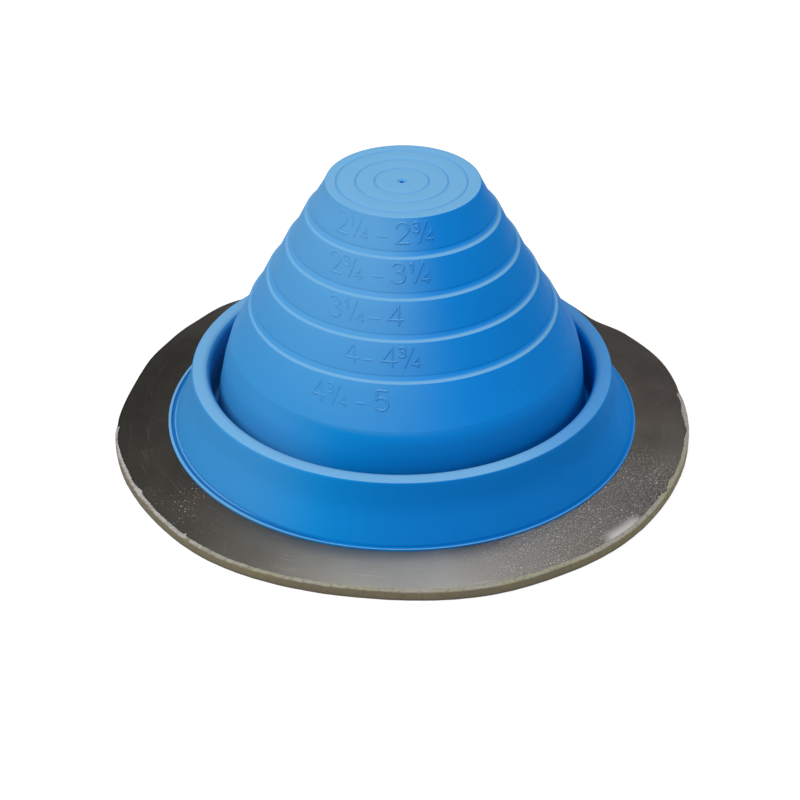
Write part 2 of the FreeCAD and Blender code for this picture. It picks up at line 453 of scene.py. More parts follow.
def ring_bend(radius, height, angle):
    """Place of a point of the sheet: dented a little, and bent by hand towards its edge."""
    share = edge_share(radius)
    lift = soft_wave(angle, EDGE_HEIGHT_WAVES) * share
    dent = soft_wave(angle, SHEET_DENTS) * math.sin(math.pi * min(1.0, share * DENT_SPREAD))
    reach = soft_wave(angle, EDGE_RADIUS_WAVES) + BARE_RING_REACH * bare_edge(angle)
    reach += reach_of(angle, HAND_BENDS)
    return radius + reach * share, height + lift + dent


def make_ring():
    edge_top = ring_top(RING_EDGE_RADIUS)
    hole_top = ring_top(RING_HOLE_RADIUS)
    corners = [
        (RING_HOLE_RADIUS, hole_top, 0),
        (RING_EDGE_RADIUS, edge_top, RING_EDGE_ROUNDING),
        (RING_EDGE_RADIUS, edge_top - RING_THICKNESS, RING_EDGE_ROUNDING),
        (RING_HOLE_RADIUS, hole_top - RING_THICKNESS, 0),
    ]
    return lathe("metal_ring", corners, ring_bend, **RING_MESH)


def ragged(angle):
    """How far the thin lap's torn edge reaches out or in at an angle."""
    around = Vector((math.cos(angle), math.sin(angle), 0.0))
    fine = noise.noise(around * TEAR_FINE)
    broad = noise.noise(around * TEAR_BROAD + TEAR_BROAD_START)
    return TEAR_FINE_REACH * fine + TEAR_BROAD_REACH * broad + reach_of(angle, LAP_TEARS)


def seal_bend(radius, height, angle):
    """The layer follows the ring above and stays flat below; its side is lumpy and its lap is torn."""
    bent_radius, bent_height = ring_bend(radius, height, angle)
    bent_height = height + (bent_height - height) * ramp(height, 0, RING_TOP_AT_EDGE)
    if radius <= TORN_WITHIN and height > TORN_ABOVE:
        bent_radius += ragged(angle)
    if radius > BARE_FROM:
        bent_radius -= BARE_SEAL_BACK * bare_edge(angle)
        if height > BARE_ABOVE:
            bent_height -= BARE_SEAL_DOWN * bare_edge(angle)
    outward = max(0.0, (radius - LAP_RADIUS) / (RIM_RADIUS - LAP_RADIUS))
    lump = noise.noise(Vector((math.cos(angle), math.sin(angle), height * LUMP_STRETCH)) * LUMPS)
    return bent_radius + LUMP_REACH * lump * outward, bent_height


def make_seal():
    """Sealing layer under the ring; it wraps the ring's edge with a ragged lap on top."""
    edge_top = ring_top(RING_EDGE_RADIUS)
    corners = [
        (RING_HOLE_RADIUS, ring_top(RING_HOLE_RADIUS) - RING_THICKNESS, 0),
        (RING_EDGE_RADIUS, edge_top - RING_THICKNESS, 0),
        (RING_EDGE_RADIUS, edge_top - LAP_SUNK, 0),
        (LAP_RADIUS, ring_top(LAP_RADIUS) - LAP_SUNK, 0),
        (LAP_RADIUS, ring_top(LAP_RADIUS) + LAP_THICKNESS, LAP_ROUNDING),
        (RIM_RADIUS, ring_top(RIM_RADIUS) + LAP_THICKNESS, RIM_ROUNDING),
        (RIM_RADIUS, 0, RIM_FOOT_ROUNDING),
        (RING_HOLE_RADIUS, 0, 0),
    ]
    return lathe("edge_seal", corners, seal_bend, **SEAL_MESH)


# ---------------------------------------------------------------- size marks

# Moulded pipe sizes in inches: text before and after the dash, place of the dash along the band, drop
# from the band's top edge, and gap before the dash
MarkRow = namedtuple("MarkRow", "before after dash_place drop gap_before")
MARK_ROWS = (
    MarkRow("2 1/4", "2 3/4", -6.6, 1.5, 3.6),
    MarkRow("2 3/4", "3 1/4", -7.9, 1.0, 3.8),
    MarkRow("3 1/4", "4", -8.9, 1.2, 2.2),
    MarkRow("4", "4 3/4", -11.0, 1.3, 1.8),
    MarkRow("4 3/4", "5", -13.2, 2.1, 3.6),
)
GAP_AFTER_DASH = 3.2
DASH_WIDTH = 2.8
DASH_RISE = 0.26
FIGURE_HEIGHT = 6.3
FIGURE_BREADTH = 1.1
FIGURE_WIDTH = 4.5
FIGURE_GAP = 0.9
SMALL_SCALE = 0.5
SMALL_WIDTH = 0.6
SLASH_LEAN = 2.6
FRACTION_WIDTH = 6.4

# Strokes: low round ridges, fainter before the dash than after it
STROKE_WIDTH = 0.62
STROKE_ROOT = 0.12
STROKE_STEP = 0.35
STROKE_SIDES = 7
RELIEF_CLEAR = 0.34
RELIEF_FAINT = 0.20
LEAST_MITRE_COSINE = 0.6
TIP_SHARES = (0.55, 0.9)


def curve_run(centre, radii, start, end, steps=12):
    """Points on part of an ellipse, from one angle to another in degrees."""
    run = []
    for step in range(steps + 1):
        turn = math.radians(start + (end - start) * step / steps)
        run.append((centre[0] + radii[0] * math.cos(turn), centre[1] + radii[1] * math.sin(turn)))
    return run


# Strokes of each figure as runs of (across, up) points, in figure heights
FIGURES = {
    "1": [[(0.12, 0.80), (0.32, 1.0), (0.32, 0.0)]],
    "2": [curve_run((0.31, 0.70), (0.28, 0.30), 170, -38) + [(0.02, 0.0), (0.62, 0.0)]],
    "3": [
        curve_run((0.30, 0.77), (0.25, 0.23), 160, -85),
        curve_run((0.30, 0.28), (0.30, 0.28), 95, -160),
    ],
    "4": [[(0.48, 0.0), (0.48, 1.0), (0.0, 0.27), (0.66, 0.27)]],
    "5": [[(0.58, 1.0), (0.12, 1.0), (0.08, 0.55)], curve_run((0.31, 0.32), (0.31, 0.32), 140, -155)],
}


def figure_runs(figure, left, bottom, height):
    breadth = height * FIGURE_BREADTH
    return [[(left + x * breadth, bottom + y * height) for x, y in run] for run in FIGURES[figure]]


def text_runs(text):
    """Strokes of a whole number and, after a space, its fraction, with the width they take."""
    whole, _, fraction = text.partition(" ")
    runs = figure_runs(whole, 0, 0, FIGURE_HEIGHT)
    if not fraction:
        return runs, FIGURE_WIDTH
    over, _, under = fraction.partition("/")
    left = FIGURE_WIDTH + FIGURE_GAP
    small = FIGURE_HEIGHT * SMALL_SCALE
    runs += figure_runs(over, left, FIGURE_HEIGHT - small, small)
    slash_left = left + FRACTION_WIDTH / 2 - SLASH_LEAN / 2
    runs.append([(slash_left, 0), (slash_left + SLASH_LEAN, FIGURE_HEIGHT)])
    runs += figure_runs(under, left + FRACTION_WIDTH - SMALL_WIDTH * FIGURE_BREADTH * small, 0, small)
    return runs, left + FRACTION_WIDTH


def row_runs(row):
    """Strokes of a whole row, as (along the band, up from the foot of the figures) points and relief."""
    dash_height = DASH_RISE * FIGURE_HEIGHT
    dash_start = row.dash_place - DASH_WIDTH / 2
    dash_end = row.dash_place + DASH_WIDTH / 2
    runs = [([(dash_start, dash_height), (dash_end, dash_height)], RELIEF_FAINT)]
    left_runs, left_width = text_runs(row.before)
    start = dash_start - row.gap_before - left_width
    runs += [([(start + x, y) for x, y in run], RELIEF_FAINT) for run in left_runs]
    right_runs, _ = text_runs(row.after)
    start = dash_end + GAP_AFTER_DASH
    runs += [([(start + x, y) for x, y in run], RELIEF_CLEAR) for run in right_runs]
    return runs


def band_edges(band):
    """Upper and lower edge of a plain band of the cone, as (radius, height)."""
    upper = beside_crease(band - 1, RIB_DROP, RIB_PROUD) if band else (DISC_RADIUS, BOOT_HEIGHT)
    lower = crease(band) if band < RIB_COUNT else CONE_FOOT
    return Vector(upper), Vector(lower)


def on_band(band, drop, along, up):
    """Point and outward normal on a band, for a place in its row of figures."""
    upper, lower = band_edges(band)
    slope = (lower - upper).normalized()
    foot_of_row = upper + slope * (drop + FIGURE_HEIGHT)
    place = foot_of_row - slope * up
    angle = FRONT + along / place.x
    outward = Vector((math.cos(angle), math.sin(angle), 0))
    radius, height = boot_bend(place.x, place.y, angle)
    point = Vector((outward.x * radius, outward.y * radius, height))
    normal = outward * -slope.y + Vector((0, 0, slope.x))
    return point, normal.normalized()


def resampled(run, step):
    """The run with its straight stretches divided."""
    points = []
    for (x0, y0), (x1, y1) in zip(run, run[1:]):
        parts = max(1, math.ceil(math.hypot(x1 - x0, y1 - y0) / step))
        for part in range(parts):
            points.append((x0 + (x1 - x0) * part / parts, y0 + (y1 - y0) * part / parts))
    return points + [run[-1]]


def stroke_rings(places):
    """Cross-sections of a stroke along (point, normal) places: point, normal, direction, mitre, scale."""
    points = [point for point, _ in places]
    last = len(points) - 1
    rings = []
    for index, (point, normal) in enumerate(places):
        ahead = points[index + 1] - point if index < last else point - points[index - 1]
        behind = point - points[index - 1] if index else ahead
        along = (ahead.normalized() + behind.normalized()).normalized()
        mitre = 1 / max(LEAST_MITRE_COSINE, along.dot(ahead.normalized()))
        rings.append((point, normal, along, mitre, 1.0))
    for end, sign in ((0, -1), (-1, 1)):
        point, normal, along, _, _ = rings[end]
        for share in TIP_SHARES:
            tip_point = point + along * (sign * STROKE_WIDTH / 2 * share)
            tip = (tip_point, normal, along, 1.0, math.sqrt(1 - share * share))
            rings = [tip] + rings if sign < 0 else rings + [tip]
    return rings


def stroke(vertices, faces, places, relief):
    """Low round ridge along (point, normal) places, closed at both ends."""
    rings = stroke_rings(places)
    base = len(vertices)
    sides = STROKE_SIDES + 1
    for point, normal, along, mitre, scale in rings:
        across = along.cross(normal).normalized()
        for side in range(sides):
            turn = math.pi * side / STROKE_SIDES
            root = STROKE_ROOT if side in (0, STROKE_SIDES) else 0
            rise = relief * scale * math.sin(turn) - root
            reach = STROKE_WIDTH / 2 * mitre * scale * math.cos(turn)
            vertices.append((point + across * reach + normal * rise) * MM)
    for ring in range(len(rings) - 1):
        here, there = base + ring * sides, base + (ring + 1) * sides
        for side in range(sides):
            after = (side + 1) % sides
            faces.append((here + side, here + after, there + after, there + side))
    faces.append(tuple(base + side for side in reversed(range(sides))))
    end = base + (len(rings) - 1) * sides
    faces.append(tuple(end + side for side in range(sides)))


def make_marks():
    vertices = []
    faces = []
    for band, row in enumerate(MARK_ROWS):
        for run, relief in row_runs(row):
            places = [on_band(band, row.drop, x, y) for x, y in resampled(run, STROKE_STEP)]
            stroke(vertices, faces, places, relief)
    mesh = bpy.data.meshes.new("size_marks")
    mesh.from_pydata(vertices, [], faces)
    mesh.validate()
    mesh.update()
    piece = placed("size_marks", mesh)
    smooth_by_angle(piece, MARKS_SHARP)
    return piece


# ---------------------------------------------------------------- shader nodes

# In the materials, a side is (direction, cosine where it starts, cosine where it is full), and heights
# and radii are (nothing, full).
CLOUDS = (0.35, 0.65)
WIDE_CLOUDS = (0.3, 0.7)
SPOT_HEIGHT = 4.0
DOT_SOFTNESS = 0.05


def new_material(name):
    material = bpy.data.materials.new(name)
    material.use_nodes = True
    tree = material.node_tree
    return material, tree, tree.nodes["Principled BSDF"]


def node(tree, kind, inputs=None, **settings):
    """New node with its settings made; an input is a value, or another node's output to link."""
    made = tree.nodes.new(kind)
    for key, value in settings.items():
        setattr(made, key, value)
    for key, value in (inputs or {}).items():
        if isinstance(value, bpy.types.NodeSocket):
            tree.links.new(value, made.inputs[key])
        else:
            made.inputs[key].default_value = value
    return made


def maths(tree, operation, *values):
    return node(tree, "ShaderNodeMath", dict(enumerate(values)), operation=operation).outputs[0]


def times(tree, *values):
    """Product of outputs and numbers."""
    return reduce(lambda first, second: maths(tree, "MULTIPLY", first, second), values)


def highest(tree, *values):
    """The highest of some outputs and numbers."""
    return reduce(lambda first, second: maths(tree, "MAXIMUM", first, second), values)


def vector_maths(tree, operation, output, *values):
    made = node(tree, "ShaderNodeVectorMath", dict(enumerate(values)), operation=operation)
    return made.outputs[output]


def place_on_object(tree):
    return node(tree, "ShaderNodeTexCoord").outputs["Object"]


def split(tree, vector):
    return node(tree, "ShaderNodeSeparateXYZ", {0: vector}).outputs


def distance_from_axis(tree, place):
    squares = [times(tree, part, part) for part in split(tree, place)[:2]]
    return maths(tree, "SQRT", maths(tree, "ADD", *squares))


def noise_of(tree, vector, scale, detail=2.0, roughness=0.5):
    made = node(tree, "ShaderNodeTexNoise", {
        "Vector": vector, "Scale": scale, "Detail": detail, "Roughness": roughness})
    return made.outputs["Fac"]


def ranged(tree, value, low, high, to_low=0.0, to_high=1.0):
    """Value mapped smoothly from one range to another, and kept in it."""
    made = node(tree, "ShaderNodeMapRange", {
        "Value": value, "From Min": low, "From Max": high, "To Min": to_low, "To Max": to_high,
    }, interpolation_type="SMOOTHSTEP")
    return made.outputs["Result"]


def ranged_mm(tree, length, low, high, to_low=0.0, to_high=1.0):
    """The same for a length on the object, with its range in millimetres."""
    return ranged(tree, length, low * MM, high * MM, to_low, to_high)


def less(tree, share, by):
    """1, lowered smoothly by so much where share is 1."""
    return ranged(tree, share, 0, 1, 1, 1 - by)


def mixed(tree, share, first, second):
    """Colour from first to second by share; each is an output or three numbers."""
    made = node(tree, "ShaderNodeMix", data_type="RGBA")
    for socket, value in ((made.inputs[0], share), (made.inputs[6], first), (made.inputs[7], second)):
        if isinstance(value, bpy.types.NodeSocket):
            tree.links.new(value, socket)
        elif isinstance(value, tuple):
            socket.default_value = (*value, 1)
        else:
            socket.default_value = value
    return made.outputs[2]


def towards(tree, vector, degrees, start, full):
    """1 where the surface lies at an angle round the axis, falling to 0 as the cosine drops to start."""
    way = (math.cos(math.radians(degrees)), math.sin(math.radians(degrees)), 0)
    flat = vector_maths(tree, "MULTIPLY", 0, vector, (1, 1, 0))
    unit = vector_maths(tree, "NORMALIZE", 0, flat)
    return ranged(tree, vector_maths(tree, "DOT_PRODUCT", "Value", unit, way), start, full)


def near(tree, vector, radius, degrees, reach):
    """1 at a spot on the ring given by its radius and direction, falling to 0 at reach."""
    turn = math.radians(degrees)
    spot = (radius * MM * math.cos(turn), radius * MM * math.sin(turn), SPOT_HEIGHT * MM)
    return ranged_mm(tree, vector_maths(tree, "DISTANCE", "Value", vector, spot), reach, 0)


def dots(tree, vector, scale, size, dimensions="2D"):
    """Small flecks, one in each cell of the given scale (per metre), of uneven size."""
    cells = node(tree, "ShaderNodeTexVoronoi", {
        "Vector": vector, "Scale": scale}, voronoi_dimensions=dimensions).outputs
    uneven = node(tree, "ShaderNodeSeparateColor", {"Color": cells["Color"]}).outputs[0]
    limit = times(tree, uneven, size)
    return ranged(tree, maths(tree, "SUBTRACT", cells["Distance"], limit), DOT_SOFTNESS, 0.0)


def bumped(tree, height, distance, strength, normal=None):
    """Normal tilted by a height, whose full range is so many millimetres."""
    inputs = {"Height": height, "Distance": distance * MM, "Strength": strength}
    if normal is not None:
        inputs["Normal"] = normal
    return node(tree, "ShaderNodeBump", inputs).outputs["Normal"]


def link_inputs(tree, shader, outputs):
    for name, output in outputs.items():
        tree.links.new(output, shader.inputs[name])


# ---------------------------------------------------------------- rubber

RUBBER_BLUE = (0.001, 0.178, 0.56)
RUBBER_BLUE_PALE = (0.002, 0.192, 0.59)
RUBBER_BLUE_LEFT = (0.001, 0.205, 0.54)
RUBBER_BLUE_DARK = (0.001, 0.105, 0.36)
# Pale blue of the painted highlight and painted sheen
RUBBER_PAINTED_HIGHLIGHT = (0.135, 0.340, 0.57)
RUBBER_GLOSS = 0.05
RUBBER_ROUGHNESS = (0.52, 0.60)

# Where the blue is scuffed, greener, or darker low in front as painted shade
SCUFF_DOTS = (220, 0.10, "3D")
SCUFFED = (0.52, 0.6)
SCUFF_SHARE = 0.35
LEFT_SIDE = (-155, 0.1, 0.9)
# Painted shade: the blue darkens low on the front of the skirt and wall
LOW_FRONT = (-62, 0.55, 0.97)
LOW_FRONT_HEIGHTS = (36, 31)
LOW_FRONT_SHARE = 0.5

# Painted sheen on the lit left, which starts at the foot of the cone
LIT_SHEEN_HEIGHTS = (10, 95)
LIT_SHEEN_SHARES = (0.15, 0.64)
LIT_SHEEN_SIDE = (-150, -0.1, 0.9)
LIT_SHEEN_FOOT = (34.5, 37.2)
# Fainter painted sheen down the far left
FAR_LEFT = (-165, 0.45, 0.97)
FAR_LEFT_SHARE = 0.26

# Painted highlight on what faces up (from the upward part of the surface's normal), less in the cut lines as
# painted shade
FACING_UP = (0.66, 0.87)
ABOVE_LIP = (7.0, 8.0)
SHADED_SIDE = (5, 0.2, 0.95)
SHADED_HEIGHTS = (45, 35)
SHADED_BY = 0.5
CUT_LINE_HEIGHTS = (95.38, 95.30)
CUT_LINES_WITHIN = (22.6, 22.0)
CUT_LINE_SHADE = 0.3

# Lip: painted highlight on its raised edge, which is wider at the open side, and on a line at its foot, and
# painted shade in the trough
OPEN_LIP = (190, 0.34, 0.87)
LIP_EDGE_RADII = (79.70, 79.85)
OPEN_EDGE_RADII = (79.05, 79.20)
LIP_EDGE_HEIGHTS = (6.40, 6.48)
INNER_LINE_RADII = (78.15, 78.00)
INNER_LINE_HEIGHTS = (6.60, 6.46)
TROUGH_RADII = (78.00, 78.15)
TROUGH_HEIGHTS = (6.46, 6.40)
TROUGH_SHADE_SHARE = 0.8


def rubber_colour(tree, place, height, clouds):
    """The rubber's blue: cloudy and a little scuffed, greener at the left, and darker low in front as
    painted shade.
    """
    blue = mixed(tree, ranged(tree, clouds, *CLOUDS), RUBBER_BLUE, RUBBER_BLUE_PALE)
    scuffs = times(tree, dots(tree, place, *SCUFF_DOTS), ranged(tree, clouds, *SCUFFED))
    blue = mixed(tree, times(tree, scuffs, SCUFF_SHARE), blue, RUBBER_BLUE_DARK)
    blue = mixed(tree, towards(tree, place, *LEFT_SIDE), blue, RUBBER_BLUE_LEFT)
    # Painted shade low in front
    low_front = times(tree, towards(tree, place, *LOW_FRONT), ranged_mm(tree, height, *LOW_FRONT_HEIGHTS))
    return mixed(tree, times(tree, low_front, LOW_FRONT_SHARE), blue, RUBBER_BLUE_DARK)


def rubber_painted_sheen(tree, place, height):
    """Painted sheen on the cone's lit front left, stronger towards the top, and a faint one down its far
    left.
    """
    rising = ranged_mm(tree, height, *LIT_SHEEN_HEIGHTS, *LIT_SHEEN_SHARES)
    side = ranged(tree, towards(tree, place, *LIT_SHEEN_SIDE), 0, 1)
    lit_sheen = times(tree, rising, side, ranged_mm(tree, height, *LIT_SHEEN_FOOT))
    return highest(tree, lit_sheen, ranged(tree, towards(tree, place, *FAR_LEFT), 0, 1, 0, FAR_LEFT_SHARE))


def lip_parts(tree, place, height, radius):
    """Shares of the painted highlight on the lip's raised edge and on the line at its foot, and of the
    painted shade in the trough between them.
    """
    opened = towards(tree, place, *OPEN_LIP)
    on_top = ranged_mm(tree, height, *LIP_EDGE_HEIGHTS)
    open_edge = times(tree, ranged_mm(tree, radius, *OPEN_EDGE_RADII), on_top, opened)
    edge = highest(tree, ranged_mm(tree, radius, *LIP_EDGE_RADII), open_edge)
    line_height = ranged_mm(tree, height, *INNER_LINE_HEIGHTS)
    line = times(tree, ranged_mm(tree, radius, *INNER_LINE_RADII), line_height, opened)
    sunk = times(tree, ranged_mm(tree, height, *TROUGH_HEIGHTS), less(tree, edge, 1))
    return edge, line, times(tree, sunk, ranged_mm(tree, radius, *TROUGH_RADII))


def rubber_painted_highlight(tree, place, height, lip_edge_highlight, lip_line_highlight):
    """Painted highlight on what faces up: low down only on the lip, and less on the ridge's shaded side."""
    normal = node(tree, "ShaderNodeNewGeometry").outputs["Normal"]
    kept = highest(tree, ranged_mm(tree, height, *ABOVE_LIP), lip_edge_highlight, lip_line_highlight)
    shaded = times(tree, towards(tree, place, *SHADED_SIDE), ranged_mm(tree, height, *SHADED_HEIGHTS))
    kept = times(tree, kept, less(tree, shaded, SHADED_BY))
    return times(tree, ranged(tree, split(tree, normal)[2], *FACING_UP), kept)


def rubber_material():
    """Satin moulded rubber with the mould's fine grain; painted highlight on what faces up, painted sheen on
    the lit left, and painted shade in the trough, the cut lines and low in front.
    """
    material, tree, shader = new_material("blue_rubber")
    place = place_on_object(tree)
    height = split(tree, place)[2]
    radius = distance_from_axis(tree, place)
    medium = noise_of(tree, place, scale=130, detail=4)
    grain = noise_of(tree, place, scale=1500)

    blue = rubber_colour(tree, place, height, noise_of(tree, place, scale=22, detail=3))
    lip_edge_highlight, lip_line_highlight, trough = lip_parts(tree, place, height, radius)
    top_highlight = rubber_painted_highlight(tree, place, height, lip_edge_highlight, lip_line_highlight)
    # Painted highlight and painted sheen, held back in the cut lines as painted shade
    pale = highest(tree, rubber_painted_sheen(tree, place, height), top_highlight)
    cut = times(tree, ranged_mm(tree, height, *CUT_LINE_HEIGHTS), ranged_mm(tree, radius, *CUT_LINES_WITHIN))
    blue = mixed(tree, times(tree, pale, less(tree, cut, CUT_LINE_SHADE)), blue, RUBBER_PAINTED_HIGHLIGHT)
    # Painted shade in the trough
    blue = mixed(tree, times(tree, trough, TROUGH_SHADE_SHARE), blue, RUBBER_BLUE_DARK)

    shader.inputs["Specular IOR Level"].default_value = RUBBER_GLOSS
    normal = bumped(tree, medium, distance=0.10, strength=0.25)
    normal = bumped(tree, grain, distance=0.03, strength=0.35, normal=normal)
    roughness = ranged(tree, medium, *WIDE_CLOUDS, *RUBBER_ROUGHNESS)
    link_inputs(tree, shader, {"Base Color": blue, "Roughness": roughness, "Normal": normal})
    return material


# ---------------------------------------------------------------- metal

METAL_DARK = (0.205, 0.193, 0.168)
METAL_LIGHT = (0.250, 0.239, 0.214)
# Painted shade of the left side
METAL_SHADED_LEFT = (0.115, 0.107, 0.090)
METAL_SHADED = (0.120, 0.112, 0.100)
METAL_WARM = (0.195, 0.170, 0.152)
METAL_BRIGHT = (0.60, 0.59, 0.57)
METAL_BROWN = (0.22, 0.12, 0.06)
METAL_FLECK = (0.50, 0.48, 0.45)
METAL_ROUGHNESS = (0.35, 0.42)
FLECK_ROUGHNESS = 0.2
FLECK_DULLNESS = 0.6

# Where the grey has painted shade at the right front and the left, is warm, scratched or smudged, and
# has a painted glint; a spot is (radius, direction, reach)
SHADED_FRONT = (-46, 0.80, 0.95)
SHADED_SHARE = 0.75
WARM_SIDE = (28, 0.55, 0.98)
SHADED_LEFT_SIDE = (-168, 0.25, 0.88)
SCRATCH_TURN = 5.0
SCRATCH_ACROSS = 1800.0
SCRATCHED = (0.62, 0.71)
SCRATCH_SHARE = 0.22
SMUDGE = (84, -143, 6)
SMUDGE_SHARE = 0.45
# Painted glint near the edge at the right front
GLINT_SPOT = (-42.5, 0.9945, 0.9993)
GLINT_RADII = (93.5, 97.5)
GLINT_CLOUDS = (0.30, 0.55)
GLINT_SHARES = (0.60, 1.0)

# Flecks, as (cells per metre, size), and how thickly they lie
COARSE_FLECKS = (640, 0.16)
POWDERY_FLECKS = ((1250, 0.22), (2000, 0.24))
FLECK_SPOT = (89, -144, 17)
FLECK_SPOT_SHARE = 0.75
FLECKS_ANYWHERE = 0.12
FLECK_PATCHES = (0.42, 0.56)
POWDERY_SHARE = 0.75
FLECK_SHARE = 0.85


def scratches_along(tree, place):
    """Streaks that run round the ring: noise that is slow along it and fast across it."""
    x, y = split(tree, place)[:2]
    radius = distance_from_axis(tree, place)
    along = node(tree, "ShaderNodeCombineXYZ", {
        0: times(tree, maths(tree, "DIVIDE", x, radius), SCRATCH_TURN),
        1: times(tree, maths(tree, "DIVIDE", y, radius), SCRATCH_TURN),
        2: times(tree, radius, SCRATCH_ACROSS),
    }).outputs[0]
    return noise_of(tree, along, scale=1.0, detail=3, roughness=0.6)


def metal_colour(tree, place, clouds, streaks, crowded):
    """The sheet's grey, with scratches and a brown smudge, painted shade at the right front and the left,
    and a painted glint near the edge.
    """
    grey = mixed(tree, ranged(tree, clouds, *CLOUDS), METAL_DARK, METAL_LIGHT)
    # Painted shade at the right front
    grey = mixed(tree, times(tree, crowded, SHADED_SHARE), grey, METAL_SHADED)
    grey = mixed(tree, towards(tree, place, *WARM_SIDE), grey, METAL_WARM)
    # Painted shade round the left and back left
    grey = mixed(tree, towards(tree, place, *SHADED_LEFT_SIDE), grey, METAL_SHADED_LEFT)
    scratches = ranged(tree, streaks, *SCRATCHED)
    grey = mixed(tree, times(tree, scratches, SCRATCH_SHARE), grey, METAL_BRIGHT)
    smudge = times(tree, near(tree, place, *SMUDGE), SMUDGE_SHARE, clouds)
    grey = mixed(tree, smudge, grey, METAL_BROWN)
    # Painted glint near the edge
    at_edge = ranged_mm(tree, distance_from_axis(tree, place), *GLINT_RADII)
    uneven = ranged(tree, clouds, *GLINT_CLOUDS, *GLINT_SHARES)
    painted_glint = times(tree, towards(tree, place, *GLINT_SPOT), at_edge, uneven)
    return mixed(tree, painted_glint, grey, METAL_BRIGHT)


def metal_flecks(tree, place, crowded):
    """Bright flecks: coarse ones in patches, and powdery ones between them where they are crowded."""
    patches = ranged(tree, noise_of(tree, place, scale=120), *FLECK_PATCHES)
    some = times(tree, near(tree, place, *FLECK_SPOT), FLECK_SPOT_SHARE)
    spread = times(tree, highest(tree, crowded, some, FLECKS_ANYWHERE), patches)
    coarse = times(tree, dots(tree, place, *COARSE_FLECKS), spread)
    powdery = highest(tree, *(dots(tree, place, *row) for row in POWDERY_FLECKS))
    return highest(tree, coarse, times(tree, powdery, times(tree, crowded, POWDERY_SHARE)))


def metal_material():
    """Soft rolled sheet: dark and dull, with scratches along the ring and bright flecks in clusters."""
    material, tree, shader = new_material("ring_metal")
    place = place_on_object(tree)
    clouds = noise_of(tree, place, scale=45, detail=3)
    fine = noise_of(tree, place, scale=900)
    streaks = scratches_along(tree, place)
    crowded = towards(tree, place, *SHADED_FRONT)

    grey = metal_colour(tree, place, clouds, streaks, crowded)
    flecks = metal_flecks(tree, place, crowded)
    colour = mixed(tree, times(tree, flecks, FLECK_SHARE), grey, METAL_FLECK)
    metallic = maths(tree, "SUBTRACT", 1.0, times(tree, flecks, FLECK_DULLNESS))
    dull = ranged(tree, clouds, *WIDE_CLOUDS, *METAL_ROUGHNESS)
    roughness = maths(tree, "ADD", dull, times(tree, flecks, FLECK_ROUGHNESS))
    normal = bumped(tree, streaks, distance=0.02, strength=0.5)
    normal = bumped(tree, fine, distance=0.02, strength=0.35, normal=normal)
    normal = bumped(tree, flecks, distance=0.08, strength=0.5, normal=normal)
    link_inputs(tree, shader, {
        "Base Color": colour, "Metallic": metallic, "Roughness": roughness, "Normal": normal})
    return material


# ---------------------------------------------------------------- sealant

SEAL_DARK = (0.085, 0.078, 0.055)
SEAL_BROWN = (0.150, 0.125, 0.080)
SEAL_OLIVE = (0.170, 0.155, 0.080)
SEAL_LAP = (0.27, 0.255, 0.215)
SEAL_LAP_OLIVE = (0.25, 0.245, 0.165)
SEAL_LAP_WHITE = (0.37, 0.36, 0.345)
SEAL_GLOSS = 0.3
SEAL_ROUGHNESS = (0.6, 0.8)

# Heights of the foot's painted shade and of the lap, uneven by so many millimetres, and where the lap is
# whiter
SEAL_CLOUDS = (0.4, 0.6)
UNEVEN_BY = 1.1
SHADED_FOOT = (0.2, 1.6)
LAP_HEIGHTS = (3.1, 3.6)
WHITE_SIDE = (185, 0.55, 0.95)
WHITE_RIGHT = (3, 0.96, 0.99)
WHITE_RIGHT_SHARE = 0.35
MOTTLED = (0.45, 0.75)
MOTTLE_SHARES = (0, 0.5)


def seal_lap_colour(tree, place):
    """The lap's pale grey, olive in places and whiter at the left and in one spot at the right."""
    clouds = noise_of(tree, place, scale=60, detail=3)
    lap = mixed(tree, ranged(tree, clouds, *SEAL_CLOUDS), SEAL_LAP, SEAL_LAP_OLIVE)
    right = times(tree, towards(tree, place, *WHITE_RIGHT), WHITE_RIGHT_SHARE)
    white = highest(tree, towards(tree, place, *WHITE_SIDE), right)
    return mixed(tree, white, lap, SEAL_LAP_WHITE)


def seal_material():
    """Matt sealing compound: pale on the lap and olive-brown down the side, with painted shade at the foot.
    """
    material, tree, shader = new_material("edge_sealant")
    place = place_on_object(tree)
    uneven = noise_of(tree, place, scale=330, detail=3)
    drift = noise_of(tree, place, scale=16, detail=3)
    mottle = noise_of(tree, place, scale=800, detail=3)

    above_mean = times(tree, maths(tree, "SUBTRACT", uneven, 0.5), UNEVEN_BY * MM)
    height = maths(tree, "ADD", split(tree, place)[2], above_mean)
    side = mixed(tree, ranged(tree, drift, *SEAL_CLOUDS), SEAL_BROWN, SEAL_OLIVE)
    # Painted shade: darker low down at the foot
    foot = mixed(tree, ranged_mm(tree, height, *SHADED_FOOT), SEAL_DARK, side)
    colour = mixed(tree, ranged_mm(tree, height, *LAP_HEIGHTS), foot, seal_lap_colour(tree, place))
    colour = mixed(tree, ranged(tree, mottle, *MOTTLED, *MOTTLE_SHARES), colour, SEAL_DARK)

    shader.inputs["Specular IOR Level"].default_value = SEAL_GLOSS
    normal = bumped(tree, uneven, distance=0.25, strength=0.6)
    normal = bumped(tree, mottle, distance=0.08, strength=0.5, normal=normal)
    roughness = ranged(tree, uneven, *WIDE_CLOUDS, *SEAL_ROUGHNESS)
    link_inputs(tree, shader, {"Base Color": colour, "Roughness": roughness, "Normal": normal})
    return material


# ---------------------------------------------------------------- stage, in metres

FLOOR_REACH = 12.0
FLOOR_HEIGHT = -0.0002
FLOOR_GREY = (0.4, 0.4, 0.4, 1)
FLOOR_SEEN_GREY = (0.30, 0.30, 0.30, 1)
FLOOR_SEEN_GLOW = 0.80

